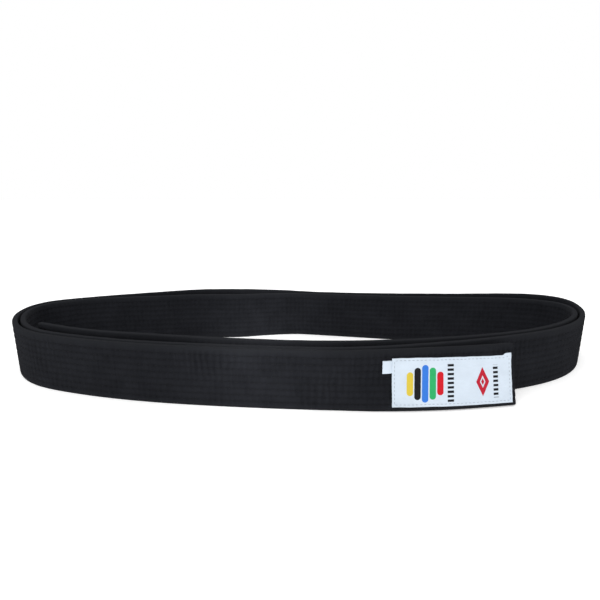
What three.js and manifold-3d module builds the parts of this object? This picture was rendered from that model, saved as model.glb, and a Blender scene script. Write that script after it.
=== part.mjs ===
// A black stitched cotton martial arts belt, wound two and a half times into a long loop that
// stands on its edge. Millimetres, +Z up. The loop's outer front lap faces -Y.
//
// The belt is a fabric tube: a cover cloth folded round two core plies, closed by a long slit seam
// and held by eight rows of lockstitch, each with a needle thread on the outer face and a bobbin
// thread on the inner face. It bends at three upright hinges, so every layer is made in four
// stretches: the winding, the outer lap, the labelled outer end and the plain inner end.

import * as THREE from 'three';
import { mergeVertices } from 'three/addons/utils/BufferGeometryUtils.js';
import Module from 'manifold-3d';

const wasm = await Module();
wasm.setup();

// Driving dimensions: the belt's section.
const BELT_WIDTH = 40;
const BELT_THICKNESS = 3.6;
const CLOTH = 0.7;
const LAYER_GAP = 0.1;
const THREAD_GAP = 0.05;
const PLY_COUNT = 2;
const SEAM_HEIGHT = 2.2;
const SEAM_GAP = 0.4;

// Driving dimensions: the stitching.
const ROW_COUNT = 8;
const ROW_MARGIN = 4.5;
const ROW_WIDTH = 0.8;
const ROW_PROUD = 0.25;
const END_ROW_INSET = 5;

// Driving dimensions: lengths along the belt from its labelled outer end, and from its plain one.
const OUTER_END_LENGTH = 113;
const OUTER_LAP_LENGTH = 336;
const INNER_END_LENGTH = 92;
const HINGE_GAP = 0.8;

// Driving dimensions: the woven label, its border stitching and the folded size tag.
const LABEL_INSET = 3;
const LABEL_LENGTH = 80.4;
const LABEL_LOW = 2.8;
const LABEL_HEIGHT = 31.7;
const LABEL_THICKNESS = 0.5;
const BORDER_INSET = 1.2;
const BORDER_WIDTH = 0.7;
const BORDER_PROUD = 0.2;
const TAG_LENGTH = 6.2;
const TAG_LOW = 25.6;
const TAG_HEIGHT = 8.1;
const TAG_LEAF = 0.35;
const TAG_SLOT = 0.2;
const TURNED_GAP = 0.3;

// Driving dimensions: how the labelled end stands. From its hinge to its tip it leans back more and
// more, in radians, and its foot swings out, so the layers there are made of smaller triangles.
const TIP_LEAN = 15 * Math.PI / 180;
const TIP_KICK = 2.25;
const LEAN_FINENESS = 6;

// How finely the curved route is stepped: the furthest a straight step may leave the curve.
const STEP_SAG = 0.35;
const STEP_MAX = 70;
const WALK = 1;

// How far a cutting tool runs past the face that it cuts.
const CUT_PAST = 1;

// The belt's centre line seen from above, from the labelled outer end to the plain inner end.
const ROUTE = [
  // the outer front lap, right to left, with the labelled end standing a little off the winding
  [135.3, -72.5], [133.2, -72.9], [92, -79], [51, -81.6], [23, -81],
  [-45, -76.3], [-110, -68.3], [-160, -57], [-192, -45.3],
  // the outer left bend
  [-210, -32], [-223, -14.5], [-230, 3], [-231, 19.5], [-226.5, 32], [-215, 41.2], [-190, 52],
  // the outer back lap, left to right
  [-140, 69], [-102, 79.5], [-63, 81.2], [-24, 77.3], [14, 69.3], [65, 64.6], [135, 62.8],
  [190, 63.6],
  // the outer right bend
  [211, 60.8], [225, 53], [231, 41], [230, 27], [224.5, 9.5], [213.5, -9], [198.5, -24.5],
  [177.5, -38],
  // the second front lap
  [150.5, -49], [100, -63.3], [26, -75.4], [-45, -71.2], [-110, -63.4], [-158.5, -52.2],
  [-189, -41],
  // the inner left bend
  [-206, -28.3], [-218.5, -11.5], [-225.2, 4.5], [-226.1, 18.5], [-222.2, 28.2], [-213, 35.6],
  [-188, 46.4],
  // the inner back lap
  [-133, 54.8], [-98, 60.2], [-62, 60.4], [-34, 63.6], [-8, 65.1], [20, 62.2], [50, 58.4],
  [80, 54.4], [122, 51.4], [158, 49.4], [190, 45.6],
  // the inner right bend
  [208, 39.2], [218, 31], [220.5, 20], [216.3, 5], [206, -9.5], [190, -23], [172, -33.8],
  // the third front lap, which ends free inside the loop
  [148, -43.6], [100, -55.4], [34, -63.4], [-20, -61.9], [-108, -49.6], [-160, -38.8],
  [-199, -23.6],
];

const cloth = new THREE.MeshStandardMaterial({ color: 0x222326, roughness: 0.92, metalness: 0 });
const core = new THREE.MeshStandardMaterial({ color: 0x2c2c2e, roughness: 0.95, metalness: 0 });
const thread = new THREE.MeshStandardMaterial({ color: 0x1b1c1f, roughness: 0.7, metalness: 0 });
const satin = new THREE.MeshStandardMaterial({ color: 0xf1f4fa, roughness: 0.55, metalness: 0 });
const whiteThread = new THREE.MeshStandardMaterial({ color: 0xe4e8ef, roughness: 0.6, metalness: 0 });

const route = new THREE.CatmullRomCurve3(ROUTE.map(([x, y]) => new THREE.Vector3(x, y, 0)));
route.arcLengthDivisions = 6000;
const beltLength = route.getLength();
const pointAt = (length) => route.getPointAt(length / beltLength);
const tangentAt = (length) => route.getTangentAt(length / beltLength);

// The lengths at which one stretch of the belt stops and the next starts.
const labelStart = LABEL_INSET;
const labelEnd = LABEL_INSET + LABEL_LENGTH;
const innerHinge = beltLength - INNER_END_LENGTH;
const halfGap = HINGE_GAP / 2;

// Stations along the belt, closer together in the bends. Every layer is stepped at the same ones.
function walkStations() {
  const lengths = [0];
  for (let length = WALK; length < beltLength - WALK; length += WALK) {
    const last = lengths[lengths.length - 1];
    const chord = length - last;
    const turn = tangentAt(last).angleTo(tangentAt(length));
    if (chord * turn / 8 > STEP_SAG || chord > STEP_MAX) {
      lengths.push(length);
    }
  }
  lengths.push(beltLength);
  return lengths.map((length) => ({ length, point: pointAt(length), tangent: tangentAt(length) }));
}

const stations = walkStations();

// The point and heading at a length, on the straight step between its two stations.
function stationAt(length) {
  const next = Math.max(1, stations.findIndex((station) => station.length >= length - 1e-6));
  const [a, b] = [stations[next - 1], stations[next]];
  const share = (length - a.length) / (b.length - a.length);
  return {
    point: a.point.clone().lerp(b.point, share),
    tangent: a.tangent.clone().lerp(b.tangent, share).normalize(),
  };
}

// One stretch of the belt, stepped at the stations that lie inside it.
class Stretch extends THREE.Curve {
  constructor(start, end) {
    super();
    const lengths = stations.map((station) => station.length);
    const inside = lengths.filter((length) => length > start + WALK && length < end - WALK);
    this.lengths = [start, ...inside, end];
  }

  get steps() {
    return this.lengths.length - 1;
  }

  stationAt(t) {
    return stationAt(this.lengths[Math.round(t * this.steps)]);
  }

  getPoint(t) {
    return this.stationAt(t).point;
  }

  getTangent(t) {
    return this.stationAt(t).tangent;
  }

  getUtoTmapping(u) {
    return u;
  }
}

// A section's corners are given as [height above the floor, distance outwards from the centre line].
function sweep(start, end, corners) {
  const section = new THREE.Shape(corners.map(([height, out]) => new THREE.Vector2(-height, out)));
  const path = new Stretch(start, end);
  return new THREE.ExtrudeGeometry(section, { steps: path.steps, bevelEnabled: false, extrudePath: path });
}

function strip(start, end, low, high, inner, outer) {
  return sweep(start, end, [[low, inner], [high, inner], [high, outer], [low, outer]]);
}

function toSolid(geometry) {
  const bare = geometry.clone();
  bare.deleteAttribute('normal');
  bare.deleteAttribute('uv');
  const merged = mergeVertices(bare);
  const vertProperties = new Float32Array(merged.attributes.position.array);
  const triVerts = new Uint32Array(merged.index.array);
  return new wasm.Manifold(new wasm.Mesh({ numProp: 3, vertProperties, triVerts }));
}

function toGeometry(solid) {
  const mesh = solid.getMesh();
  const geometry = new THREE.BufferGeometry();
  geometry.setAttribute('position', new THREE.BufferAttribute(mesh.vertProperties, 3));
  geometry.setIndex(new THREE.BufferAttribute(mesh.triVerts, 1));
  geometry.computeVertexNormals();
  return geometry;
}

function joined(geometries) {
  const [first, ...rest] = geometries.map(toSolid);
  return toGeometry(rest.reduce((sum, solid) => sum.add(solid), first));
}

function cut(geometry, tools) {
  return toGeometry(tools.map(toSolid).reduce((rest, tool) => rest.subtract(tool), toSolid(geometry)));
}

// Offsets outwards from the centre line, for one face of the belt, then the other.
const face = BELT_THICKNESS / 2;
const outwardAt = ({ tangent }) => new THREE.Vector3(-tangent.y, tangent.x, 0);

// Finds the length on the route beside a point of the labelled end, by stepping towards it.
function lengthBeside(point) {
  let length = point.distanceTo(pointAt(0));
  for (let step = 0; step < 6; step++) {
    const ahead = point.clone().sub(pointAt(length)).dot(tangentAt(length));
    length = Math.min(OUTER_END_LENGTH, Math.max(0, length + ahead));
  }
  return length;
}

// Moves a point of the upright labelled end to where it stands when that end leans back. Each
// section turns about the lower edge of its inner face.
function leant([x, y, height]) {
  const plan = new THREE.Vector3(x, y, 0);
  const length = lengthBeside(plan);
  const centre = pointAt(length);
  const outward = outwardAt({ tangent: tangentAt(length) });
  const share = Math.sin((1 - length / OUTER_END_LENGTH) * Math.PI / 2);
  const [sine, cosine] = [Math.sin(TIP_LEAN * share), Math.cos(TIP_LEAN * share)];
  const beyond = plan.sub(centre).dot(outward) + face;
  const reach = beyond * cosine - height * sine - face + TIP_KICK * share;
  const raised = Math.max(0, height * cosine + beyond * sine);
  return [centre.x + outward.x * reach, centre.y + outward.y * reach, raised];
}

function leaned(geometry) {
  return toGeometry(toSolid(geometry).refineToLength(LEAN_FINENESS).warp((point) => {
    leant(point).forEach((value, axis) => {
      point[axis] = value;
    });
  }));
}

const cavity = face - CLOTH;
const cavityLow = CLOTH;
const cavityHigh = BELT_WIDTH - CLOTH;

// The cover's section: a tube with a slit along its inner wall, near the lower edge.
const COVER_SECTION = [
  [0, -face], [0, face], [BELT_WIDTH, face], [BELT_WIDTH, -face],
  [SEAM_HEIGHT + SEAM_GAP, -face], [SEAM_HEIGHT + SEAM_GAP, -cavity],
  [cavityHigh, -cavity], [cavityHigh, cavity], [cavityLow, cavity], [cavityLow, -cavity],
  [SEAM_HEIGHT, -cavity], [SEAM_HEIGHT, -face],
];

// At a free end the cover is folded shut, so the tube is cut out of a solid band and stops short.
function coverGeometry({ start, end, freeStart, freeEnd }) {
  if (!freeStart && !freeEnd) {
    return sweep(start, end, COVER_SECTION);
  }
  const from = freeStart ? start + CLOTH : start - CUT_PAST;
  const to = freeEnd ? end - CLOTH : end + CUT_PAST;
  const band = strip(start, end, 0, BELT_WIDTH, -face, face);
  const hollow = strip(from, to, cavityLow, cavityHigh, -cavity, cavity);
  const slit = strip(from, to, SEAM_HEIGHT, SEAM_HEIGHT + SEAM_GAP, -face - CUT_PAST, 0);
  return cut(band, [hollow, slit]);
}

function plyGeometry({ start, end, freeStart, freeEnd }, ply) {
  const wall = CLOTH + LAYER_GAP;
  const from = freeStart ? start + wall : start;
  const to = freeEnd ? end - wall : end;
  const pitch = 2 * cavity / PLY_COUNT;
  const inner = -cavity + ply * pitch + LAYER_GAP / 2;
  const outer = inner + pitch - LAYER_GAP;
  return strip(from, to, cavityLow + LAYER_GAP, cavityHigh - LAYER_GAP, inner, outer);
}

const rowPitch = (BELT_WIDTH - 2 * ROW_MARGIN) / (ROW_COUNT - 1);

// A row of stitching is a low ridge along the belt, on its outer face (side 1) or inner face (side -1).
function rowGeometry(start, end, row, side) {
  const middle = ROW_MARGIN + row * rowPitch;
  const foot = side * (face + THREAD_GAP);
  const crest = side * (face + ROW_PROUD);
  const half = ROW_WIDTH / 2;
  return sweep(start, end, [[middle - half, foot], [middle + half, foot], [middle, crest]]);
}

// At a free end one upright row runs across the belt and ties the eight rows into one piece. It is
// a little deeper and prouder than they are, so that no two faces lie in one plane.
function tiedRowsGeometry({ start, end, freeStart }, side) {
  const across = freeStart ? start + END_ROW_INSET : end - END_ROW_INSET - ROW_WIDTH;
  const from = freeStart ? across + ROW_WIDTH / 2 : start;
  const to = freeStart ? end : across + ROW_WIDTH / 2;
  const low = ROW_MARGIN - ROW_WIDTH;
  const high = BELT_WIDTH - low;
  const depths = [side * (face + THREAD_GAP / 2), side * (face + ROW_PROUD + THREAD_GAP)];
  const crossRow = strip(across, across + ROW_WIDTH, low, high, Math.min(...depths), Math.max(...depths));
  const rows = Array.from({ length: ROW_COUNT }, (_, row) => rowGeometry(from, to, row, side));
  return joined([crossRow, ...rows]);
}

const belt = new THREE.Group();

function add(name, geometry, material) {
  const mesh = new THREE.Mesh(geometry, material);
  mesh.name = name;
  belt.add(mesh);
}

const STRETCHES = [
  { name: 'outer_end', start: 0, end: OUTER_END_LENGTH - halfGap, freeStart: true, leans: true },
  { name: 'outer_lap', start: OUTER_END_LENGTH + halfGap, end: OUTER_LAP_LENGTH - halfGap },
  { name: 'winding', start: OUTER_LAP_LENGTH + halfGap, end: innerHinge - halfGap },
  { name: 'inner_end', start: innerHinge + halfGap, end: beltLength, freeEnd: true },
];

const FACES = [
  { thread: 'needle', side: 1 },
  { thread: 'bobbin', side: -1 },
];

for (const stretch of STRETCHES) {
  const free = stretch.freeStart || stretch.freeEnd;
  const stand = stretch.leans ? leaned : (geometry) => geometry;
  add(`cover_${stretch.name}`, stand(coverGeometry(stretch)), cloth);
  for (let ply = 0; ply < PLY_COUNT; ply++) {
    add(`core_ply_${ply + 1}_${stretch.name}`, stand(plyGeometry(stretch, ply)), core);
  }
  for (const { thread: kind, side } of FACES) {
    if (free) {
      add(`${kind}_rows_${stretch.name}`, stand(tiedRowsGeometry(stretch, side)), thread);
      continue;
    }
    for (let row = 0; row < ROW_COUNT; row++) {
      const geometry = rowGeometry(stretch.start, stretch.end, row, side);
      add(`${kind}_row_${row + 1}_${stretch.name}`, geometry, thread);
    }
  }
}

// The woven label lies over the needle threads of the outer end.
const labelBack = face + ROW_PROUD + LAYER_GAP;
const labelFront = labelBack + LABEL_THICKNESS;
const labelTop = LABEL_LOW + LABEL_HEIGHT;
add('label', leaned(strip(labelStart, labelEnd, LABEL_LOW, labelTop, labelBack, labelFront)), satin);

// The stitching that sews the label down is a frame of thread just inside its edges.
function borderGeometry() {
  const from = labelStart + BORDER_INSET;
  const to = labelEnd - BORDER_INSET;
  const low = LABEL_LOW + BORDER_INSET;
  const high = labelTop - BORDER_INSET;
  const foot = labelFront + LAYER_GAP;
  const crest = foot + BORDER_PROUD;
  const [windowLow, windowHigh] = [low + BORDER_WIDTH, high - BORDER_WIDTH];
  const [windowFrom, windowTo] = [from + BORDER_WIDTH, to - BORDER_WIDTH];
  const window = strip(windowFrom, windowTo, windowLow, windowHigh, foot - CUT_PAST, crest + CUT_PAST);
  return cut(strip(from, to, low, high, foot, crest), [window]);
}

add('label_stitching', leaned(borderGeometry()), whiteThread);

// The size tag is a tape folded in two. Its fold is the free end, and its open end is sewn down
// beside the label, where it swings about an upright axis.
function tagGeometry() {
  const thickness = 2 * TAG_LEAF + TAG_SLOT;
  const outline = new THREE.Shape();
  outline.moveTo(0, 0);
  outline.lineTo(TAG_LENGTH - thickness / 2, 0);
  outline.absarc(TAG_LENGTH - thickness / 2, thickness / 2, thickness / 2, -Math.PI / 2, Math.PI / 2);
  outline.lineTo(0, thickness);
  outline.lineTo(0, TAG_LEAF + TAG_SLOT);
  outline.lineTo(TAG_LENGTH - thickness / 2, TAG_LEAF + TAG_SLOT);
  outline.absarc(TAG_LENGTH - thickness / 2, thickness / 2, TAG_SLOT / 2, Math.PI / 2, -Math.PI / 2, true);
  outline.lineTo(0, TAG_LEAF);
  outline.closePath();
  const settings = { depth: TAG_HEIGHT, bevelEnabled: false, curveSegments: 4 };
  const { point, tangent } = stationAt(labelEnd + TURNED_GAP);
  const root = point.clone().addScaledVector(outwardAt({ tangent }), face + ROW_PROUD + TURNED_GAP);
  const tag = new THREE.ExtrudeGeometry(outline, settings);
  return tag.rotateZ(Math.atan2(tangent.y, tangent.x)).translate(root.x, root.y, TAG_LOW);
}

add('size_tag', leaned(tagGeometry()), satin);

// The origin is the middle of the whole belt's box, at the floor.
const box = new THREE.Box3().setFromObject(belt);
const middle = box.getCenter(new THREE.Vector3());
belt.position.set(-middle.x, -middle.y, -box.min.z);

export default belt;
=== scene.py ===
"""Looks for a black stitched cotton martial arts belt, wound two and a half times on its edge.

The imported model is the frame. Every piece is built round the same centre line as its solids, in
metres, with +Z up and the belt's outer front lap facing -Y. Lengths along the belt are measured
from its labelled outer end, and distances out from its centre line are positive on the outer face.
"""

import logging
import math
from dataclasses import dataclass, field, replace
from enum import Enum
from typing import Any, Mapping, Sequence

import bpy
import numpy as np
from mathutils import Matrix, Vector


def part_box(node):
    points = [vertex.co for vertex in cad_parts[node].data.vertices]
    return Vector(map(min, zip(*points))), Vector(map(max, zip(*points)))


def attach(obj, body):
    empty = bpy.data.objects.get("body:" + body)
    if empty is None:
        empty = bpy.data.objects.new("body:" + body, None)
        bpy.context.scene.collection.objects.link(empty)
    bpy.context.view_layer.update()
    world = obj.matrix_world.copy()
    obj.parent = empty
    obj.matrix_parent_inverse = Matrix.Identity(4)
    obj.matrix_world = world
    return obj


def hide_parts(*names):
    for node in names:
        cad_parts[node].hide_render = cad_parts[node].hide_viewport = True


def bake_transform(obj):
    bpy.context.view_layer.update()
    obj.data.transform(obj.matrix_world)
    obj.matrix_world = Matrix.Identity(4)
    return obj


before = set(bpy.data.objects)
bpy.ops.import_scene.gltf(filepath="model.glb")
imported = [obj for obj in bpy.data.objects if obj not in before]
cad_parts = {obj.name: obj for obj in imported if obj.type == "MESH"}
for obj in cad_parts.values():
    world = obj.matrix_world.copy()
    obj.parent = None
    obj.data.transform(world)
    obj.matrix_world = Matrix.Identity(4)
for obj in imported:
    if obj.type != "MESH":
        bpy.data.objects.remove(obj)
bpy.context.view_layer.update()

MM = 0.001
log = logging.getLogger("belt")

# The belt's centre line seen from above, in millimetres, from its labelled outer end.
ROUTE = (
    # the outer front lap, right to left, with the labelled end standing a little off the winding
    (135.3, -72.5), (133.2, -72.9), (92, -79), (51, -81.6), (23, -81),
    (-45, -76.3), (-110, -68.3), (-160, -57), (-192, -45.3),
    # the outer left bend
    (-210, -32), (-223, -14.5), (-230, 3), (-231, 19.5), (-226.5, 32), (-215, 41.2), (-190, 52),
    # the outer back lap, left to right
    (-140, 69), (-102, 79.5), (-63, 81.2), (-24, 77.3), (14, 69.3), (65, 64.6), (135, 62.8),
    (190, 63.6),
    # the outer right bend
    (211, 60.8), (225, 53), (231, 41), (230, 27), (224.5, 9.5), (213.5, -9), (198.5, -24.5),
    (177.5, -38),
    # the second front lap
    (150.5, -49), (100, -63.3), (26, -75.4), (-45, -71.2), (-110, -63.4), (-158.5, -52.2),
    (-189, -41),
    # the inner left bend
    (-206, -28.3), (-218.5, -11.5), (-225.2, 4.5), (-226.1, 18.5), (-222.2, 28.2), (-213, 35.6),
    (-188, 46.4),
    # the inner back lap
    (-133, 54.8), (-98, 60.2), (-62, 60.4), (-34, 63.6), (-8, 65.1), (20, 62.2), (50, 58.4),
    (80, 54.4), (122, 51.4), (158, 49.4), (190, 45.6),
    # the inner right bend
    (208, 39.2), (218, 31), (220.5, 20), (216.3, 5), (206, -9.5), (190, -23), (172, -33.8),
    # the third front lap, which ends free inside the loop
    (148, -43.6), (100, -55.4), (34, -63.4), (-20, -61.9), (-108, -49.6), (-160, -38.8),
    (-199, -23.6),
)

# The belt's own sizes, in metres.
WIDTH = 40 * MM
HALF_THICKNESS = 1.8 * MM
CLOTH_THICKNESS = 0.7 * MM
ROW_COUNT = 8
ROW_MARGIN = 4.5 * MM
ROW_PITCH = (WIDTH - 2 * ROW_MARGIN) / (ROW_COUNT - 1)
STITCH_PITCH = 4 * MM
END_ROW = 5.4 * MM
TAG_LOW = 25.6 * MM
TAG_HEIGHT = 8.1 * MM

# How the labelled end stands: it leans back more and more to its tip, and its foot swings out.
LEAN_LENGTH = 113 * MM
TIP_LEAN = math.radians(15)
TIP_KICK = 2.25 * MM

# How far the inner back lap's foot stands out from under its top edge: lengths along the belt and
# distances out, in millimetres.
FOOTING = (
    (1560, 0), (1597, -2.9), (1619, -2.9), (1636, -1.9), (1650, -0.6), (1670, 1.0), (1688, 1.5),
    (1708, 0.4), (1736, -1.0), (1774, -2.8), (1822, 0),
)
COLOUR = tuple[float, float, float]
PLACE = tuple[float, float, float]


class Face(Enum):
    """The belt's two broad faces, by the side of the centre line that each lies on."""

    OUTER = 1
    INNER = -1


class Rim(Enum):
    """How a stretch of band stops: folded shut at a free end, or cut square where the next starts."""

    FOLDED = "folded"
    BUTTED = "butted"


# ---------------------------------------------------------------------------------- the centre line


def spline_through(knots: np.ndarray, steps: int) -> np.ndarray:
    """Walks a centripetal Catmull-Rom curve through the knots.

    Args:
        knots: The points that the curve passes through, as rows of x and y.
        steps: How many points to place on each span.

    Returns:
        The points of the curve, in order, as rows of x and y.
    """
    first = 2 * knots[0] - knots[1]
    last = 2 * knots[-1] - knots[-2]
    padded = np.vstack([first, knots, last])
    gaps = np.linalg.norm(np.diff(padded, axis=0), axis=1) ** 0.5
    share = (np.arange(steps) / steps)[:, None]
    spans = []
    for i in range(1, len(padded) - 2):
        before, here, there, beyond = padded[i - 1:i + 3]
        gap_a, gap_b, gap_c = gaps[i - 1:i + 2]
        leave = (here - before) / gap_a - (there - before) / (gap_a + gap_b) + (there - here) / gap_b
        arrive = (there - here) / gap_b - (beyond - here) / (gap_b + gap_c) + (beyond - there) / gap_c
        leave = leave * gap_b
        arrive = arrive * gap_b
        square = -3 * here + 3 * there - 2 * leave - arrive
        cube = 2 * here - 2 * there + leave + arrive
        spans.append(here + leave * share + square * share ** 2 + cube * share ** 3)
    return np.vstack([*spans, knots[-1:]])


@dataclass(frozen=True)
class BeltLine:
    """The belt's centre line seen from above, with its outward direction and its lean all along.

    The lean is a share of the lean at the tip. Each section turns about the lower edge of its inner
    face, so that it stays on the floor. The footing is how far the foot stands out from under the
    top edge.
    """

    lengths: np.ndarray
    points: np.ndarray
    outward: np.ndarray
    leaning: np.ndarray
    footing: np.ndarray

    @classmethod
    def through(cls, knots: Sequence[tuple[float, float]], step: float, ease: float) -> "BeltLine":
        """Builds the line from the route's knots.

        Args:
            knots: The route's points in millimetres.
            step: The distance between neighbouring points of the line, in metres.
            ease: How far, in metres, the cloth's stiffness evens out a change of bend.

        Returns:
            The line, not yet centred.
        """
        dense = spline_through(np.array(knots, float) * MM, 80)
        walked = np.r_[0, np.cumsum(np.linalg.norm(np.diff(dense, axis=0), axis=1))]
        lengths = np.linspace(0, walked[-1], int(walked[-1] / step) + 1)
        even = np.stack([np.interp(lengths, walked, dense[:, i]) for i in range(2)], 1)
        reach = int(3 * ease / step)
        bell = np.exp(-0.5 * (np.arange(-reach, reach + 1) * step / ease) ** 2)
        bell /= bell.sum()
        before = 2 * even[0] - even[reach:0:-1]
        after = 2 * even[-1] - even[-2:-reach - 2:-1]
        long = np.vstack([before, even, after])
        points = np.stack([np.convolve(long[:, i], bell, "valid") for i in range(2)], 1)
        heading = np.gradient(points, axis=0)
        heading /= np.linalg.norm(heading, axis=1)[:, None]
        padded = np.arange(-reach, len(lengths) + reach) * step
        share = np.sin(np.clip(1 - padded / LEAN_LENGTH, 0, 1) * math.pi / 2)
        leaning = np.convolve(share, bell, "valid")
        places, shifts = np.array(FOOTING, float).T * MM
        footing = np.convolve(np.interp(padded, places, shifts), bell, "valid")
        outward = np.stack([-heading[:, 1], heading[:, 0]], 1)
        return cls(lengths, points, outward, leaning, footing)

    @property
    def length(self) -> float:
        """The belt's whole length."""
        return float(self.lengths[-1])

    def moved(self, shift: np.ndarray) -> "BeltLine":
        """The same line, shifted in plan."""
        return replace(self, points=self.points + shift)

    def place(self, along: Any, height: Any, out: Any) -> np.ndarray:
        """Turns lengths, heights and distances out into points.

        Args:
            along: Lengths from the labelled end.
            height: Heights above the floor.
            out: Distances out from the centre line.

        Returns:
            The points, with x, y and z in the last axis.
        """
        along, height, out = np.broadcast_arrays(along, height, out)
        share = np.interp(along, self.lengths, self.leaning)
        cosine, sine = np.cos(TIP_LEAN * share), np.sin(TIP_LEAN * share)
        beyond = out + HALF_THICKNESS
        reach = beyond * cosine - height * sine - HALF_THICKNESS + TIP_KICK * share
        reach = reach + np.interp(along, self.lengths, self.footing) * (1 - height / WIDTH)
        flat = [
            np.interp(along, self.lengths, self.points[:, i])
            + reach * np.interp(along, self.lengths, self.outward[:, i])
            for i in range(2)
        ]
        return np.stack([*flat, height * cosine + beyond * sine], -1)

    def outward_at(self, along: Any) -> np.ndarray:
        """The outward direction at a length, in three dimensions."""
        lean = TIP_LEAN * np.interp(along, self.lengths, self.leaning)
        flat = [np.cos(lean) * np.interp(along, self.lengths, self.outward[:, i]) for i in range(2)]
        return np.stack([*flat, np.sin(lean)], -1)


def centred_line() -> BeltLine:
    """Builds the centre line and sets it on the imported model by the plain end's solid."""
    line = BeltLine.through(ROUTE, 0.5 * MM, 3 * MM)
    low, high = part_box("cover_inner_end")
    tip = line.points[-1]
    reach = np.abs(line.outward[-1]) * HALF_THICKNESS
    shift = np.array([low.x - (tip[0] - reach[0]), high.y - (tip[1] + reach[1])])
    log.info("centre line %.1f mm long, shifted %s mm", line.length / MM, np.round(shift / MM, 3))
    return line.moved(shift)


# ------------------------------------------------------------------------------------- node graphs


class Graph:
    """Adds nodes to one tree, each with its settings and the values or links of its sockets."""

    def __init__(self, tree: bpy.types.NodeTree) -> None:
        """Takes the tree that the nodes go in."""
        self.tree = tree

    def add(
        self,
        kind: str,
        settings: Mapping[str, Any] | None = None,
        inputs: Mapping[Any, Any] | None = None,
        output: Any = 0,
    ) -> "Signal":
        """Adds one node.

        Args:
            kind: The node's type.
            settings: Its properties, set first.
            inputs: Its sockets, by name or number, each with a value or a signal to link.
            output: Which of its outputs the returned signal carries.

        Returns:
            The signal from the chosen output.
        """
        node = self.tree.nodes.new(kind)
        for name, value in (settings or {}).items():
            setattr(node, name, value)
        for key, value in (inputs or {}).items():
            socket = node.inputs[key]
            if isinstance(value, Signal):
                self.tree.links.new(value.socket, socket)
            else:
                socket.default_value = value
        return Signal(self, node, output)

    def math(self, operation: str, *values: Any) -> "Signal":
        """One Math node on up to three values."""
        return self.add("ShaderNodeMath", {"operation": operation}, dict(enumerate(values)))

    def mix(self, factor: Any, low: Any, high: Any) -> "Signal":
        """Mixes two colours by a factor from 0 to 1."""
        inputs = {0: factor, 6: self._tinted(low), 7: self._tinted(high)}
        return self.add("ShaderNodeMix", {"data_type": "RGBA"}, inputs, 2)

    def _tinted(self, colour: Any) -> Any:
        """A plain colour with its alpha, or the signal as it is."""
        return colour if isinstance(colour, Signal) else (*colour, 1)

    def joined(self, x: Any, y: Any, z: Any) -> "Signal":
        """Makes a vector from three values."""
        return self.add("ShaderNodeCombineXYZ", {}, {0: x, 1: y, 2: z})


class Signal:
    """One output of a node, with arithmetic that adds the Math nodes it needs."""

    def __init__(self, graph: Graph, node: bpy.types.Node, output: Any) -> None:
        """Takes the node and the name or number of its output."""
        self.graph = graph
        self.node = node
        self.socket = node.outputs[output] if len(node.outputs) else None

    def other(self, output: Any) -> "Signal":
        """Another output of the same node."""
        return Signal(self.graph, self.node, output)

    def parts(self) -> tuple["Signal", "Signal", "Signal"]:
        """A vector's three components."""
        split = self.graph.add("ShaderNodeSeparateXYZ", {}, {0: self})
        return split, split.other(1), split.other(2)

    def __add__(self, value: Any) -> "Signal":
        """This plus a value."""
        return self.graph.math("ADD", self, value)

    __radd__ = __add__

    def __sub__(self, value: Any) -> "Signal":
        """This less a value."""
        return self.graph.math("SUBTRACT", self, value)

    def __rsub__(self, value: Any) -> "Signal":
        """A value less this."""
        return self.graph.math("SUBTRACT", value, self)

    def __mul__(self, value: Any) -> "Signal":
        """This times a value."""
        return self.graph.math("MULTIPLY", self, value)

    __rmul__ = __mul__

    def __truediv__(self, value: Any) -> "Signal":
        """This over a value."""
        return self.graph.math("DIVIDE", self, value)

    def __rtruediv__(self, value: Any) -> "Signal":
        """A value over this."""
        return self.graph.math("DIVIDE", value, self)

    def __mod__(self, value: Any) -> "Signal":
        """The remainder of this over a value, never negative."""
        return self.graph.math("FLOORED_MODULO", self, value)

    def __pow__(self, value: Any) -> "Signal":
        """This to a power."""
        return self.graph.math("POWER", self, value)

    def __gt__(self, value: Any) -> "Signal":
        """1 where this is above a value, else 0."""
        return self.graph.math("GREATER_THAN", self, value)

    def __lt__(self, value: Any) -> "Signal":
        """1 where this is below a value, else 0."""
        return self.graph.math("LESS_THAN", self, value)

    def __abs__(self) -> "Signal":
        """This without its sign."""
        return self.graph.math("ABSOLUTE", self)

    def floor(self) -> "Signal":
        """The whole number at or below this."""
        return self.graph.math("FLOOR", self)

    def fraction(self) -> "Signal":
        """What is left of this above its whole number."""
        return self.graph.math("FRACT", self)

    def sine(self) -> "Signal":
        """The sine of this, in radians."""
        return self.graph.math("SINE", self)

    def most(self, value: Any) -> "Signal":
        """The larger of this and a value."""
        return self.graph.math("MAXIMUM", self, value)

    def least(self, value: Any) -> "Signal":
        """The smaller of this and a value."""
        return self.graph.math("MINIMUM", self, value)

    def eased(self, start: float, end: float) -> "Signal":
        """A smooth step from 0 at start to 1 at end."""
        settings = {"interpolation_type": "SMOOTHSTEP"}
        return self.graph.add("ShaderNodeMapRange", settings, {0: self, 1: start, 2: end})


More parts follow.
